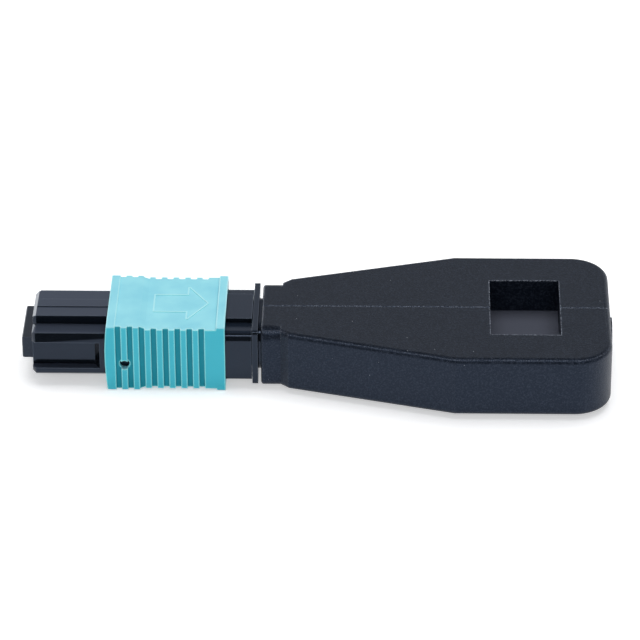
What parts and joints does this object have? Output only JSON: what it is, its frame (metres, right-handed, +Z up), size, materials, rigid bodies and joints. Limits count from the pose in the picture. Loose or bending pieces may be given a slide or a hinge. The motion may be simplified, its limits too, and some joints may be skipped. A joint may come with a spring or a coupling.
{
  "type": "multi-fibre push-pull loopback connector",
  "caption": "Push-pull multi-fibre plug with a sprung rectangular ferrule and a sliding coupling sleeve, on a flat tapered body whose fibre loops return the light.",
  "frame": {"origin": "middle of the ferrule's mating face, on the plug axis", "axes": "+X runs along the plug axis from the mating face to the rear of the body, +Y is across the wide face, +Z points up on the key and arrow side"},
  "size_m": [0.0706, 0.0242, 0.0088],
  "materials": {
    "black_polymer": "moulded, semi-gloss",
    "textured_black_polymer": "moulded with a fine spark-eroded texture",
    "aqua_polymer": "moulded, satin",
    "ferrule_resin": "glass-filled moulding, polished mating face",
    "boot_rubber": "moulded",
    "spring_steel": "drawn wire",
    "aqua_coating": "smooth coating",
    "clear_tube": "extruded"
  },
  "bodies": {
    "body": {"plug_housing": "black_polymer", "spring_push": "black_polymer", "body_shell_left": "textured_black_polymer", "body_shell_right": "textured_black_polymer", "fibre_ribbon": "aqua_coating", "fanout_tube": "clear_tube", "loop_guide": "black_polymer", "ferrule_spring": "spring_steel", "coupling_spring_left": "spring_steel", "coupling_spring_right": "spring_steel", "fibre_loop_1": "aqua_coating", "fibre_loop_2": "aqua_coating", "fibre_loop_3": "aqua_coating", "fibre_loop_4": "aqua_coating", "fibre_loop_5": "aqua_coating", "fibre_loop_6": "aqua_coating"},
    "sleeve": {"coupling_sleeve": "aqua_polymer"},
    "ferrule": {"mt_ferrule": "ferrule_resin", "pin_keeper": "black_polymer", "ferrule_boot": "boot_rubber"}
  },
  "joints": [
    {"name": "sleeve_slide", "type": "slide", "parent": "body", "child": "sleeve", "axis": [1, 0, 0], "range_m": [0, 0.0018], "stiffness_N_per_m": 600, "deforming": ["coupling_spring_left", "coupling_spring_right"]},
    {"name": "ferrule_float", "type": "slide", "parent": "body", "child": "ferrule", "axis": [1, 0, 0], "range_m": [0, 0.0009], "stiffness_N_per_m": 1000, "deforming": ["ferrule_spring", "fibre_ribbon"]}
  ]
}
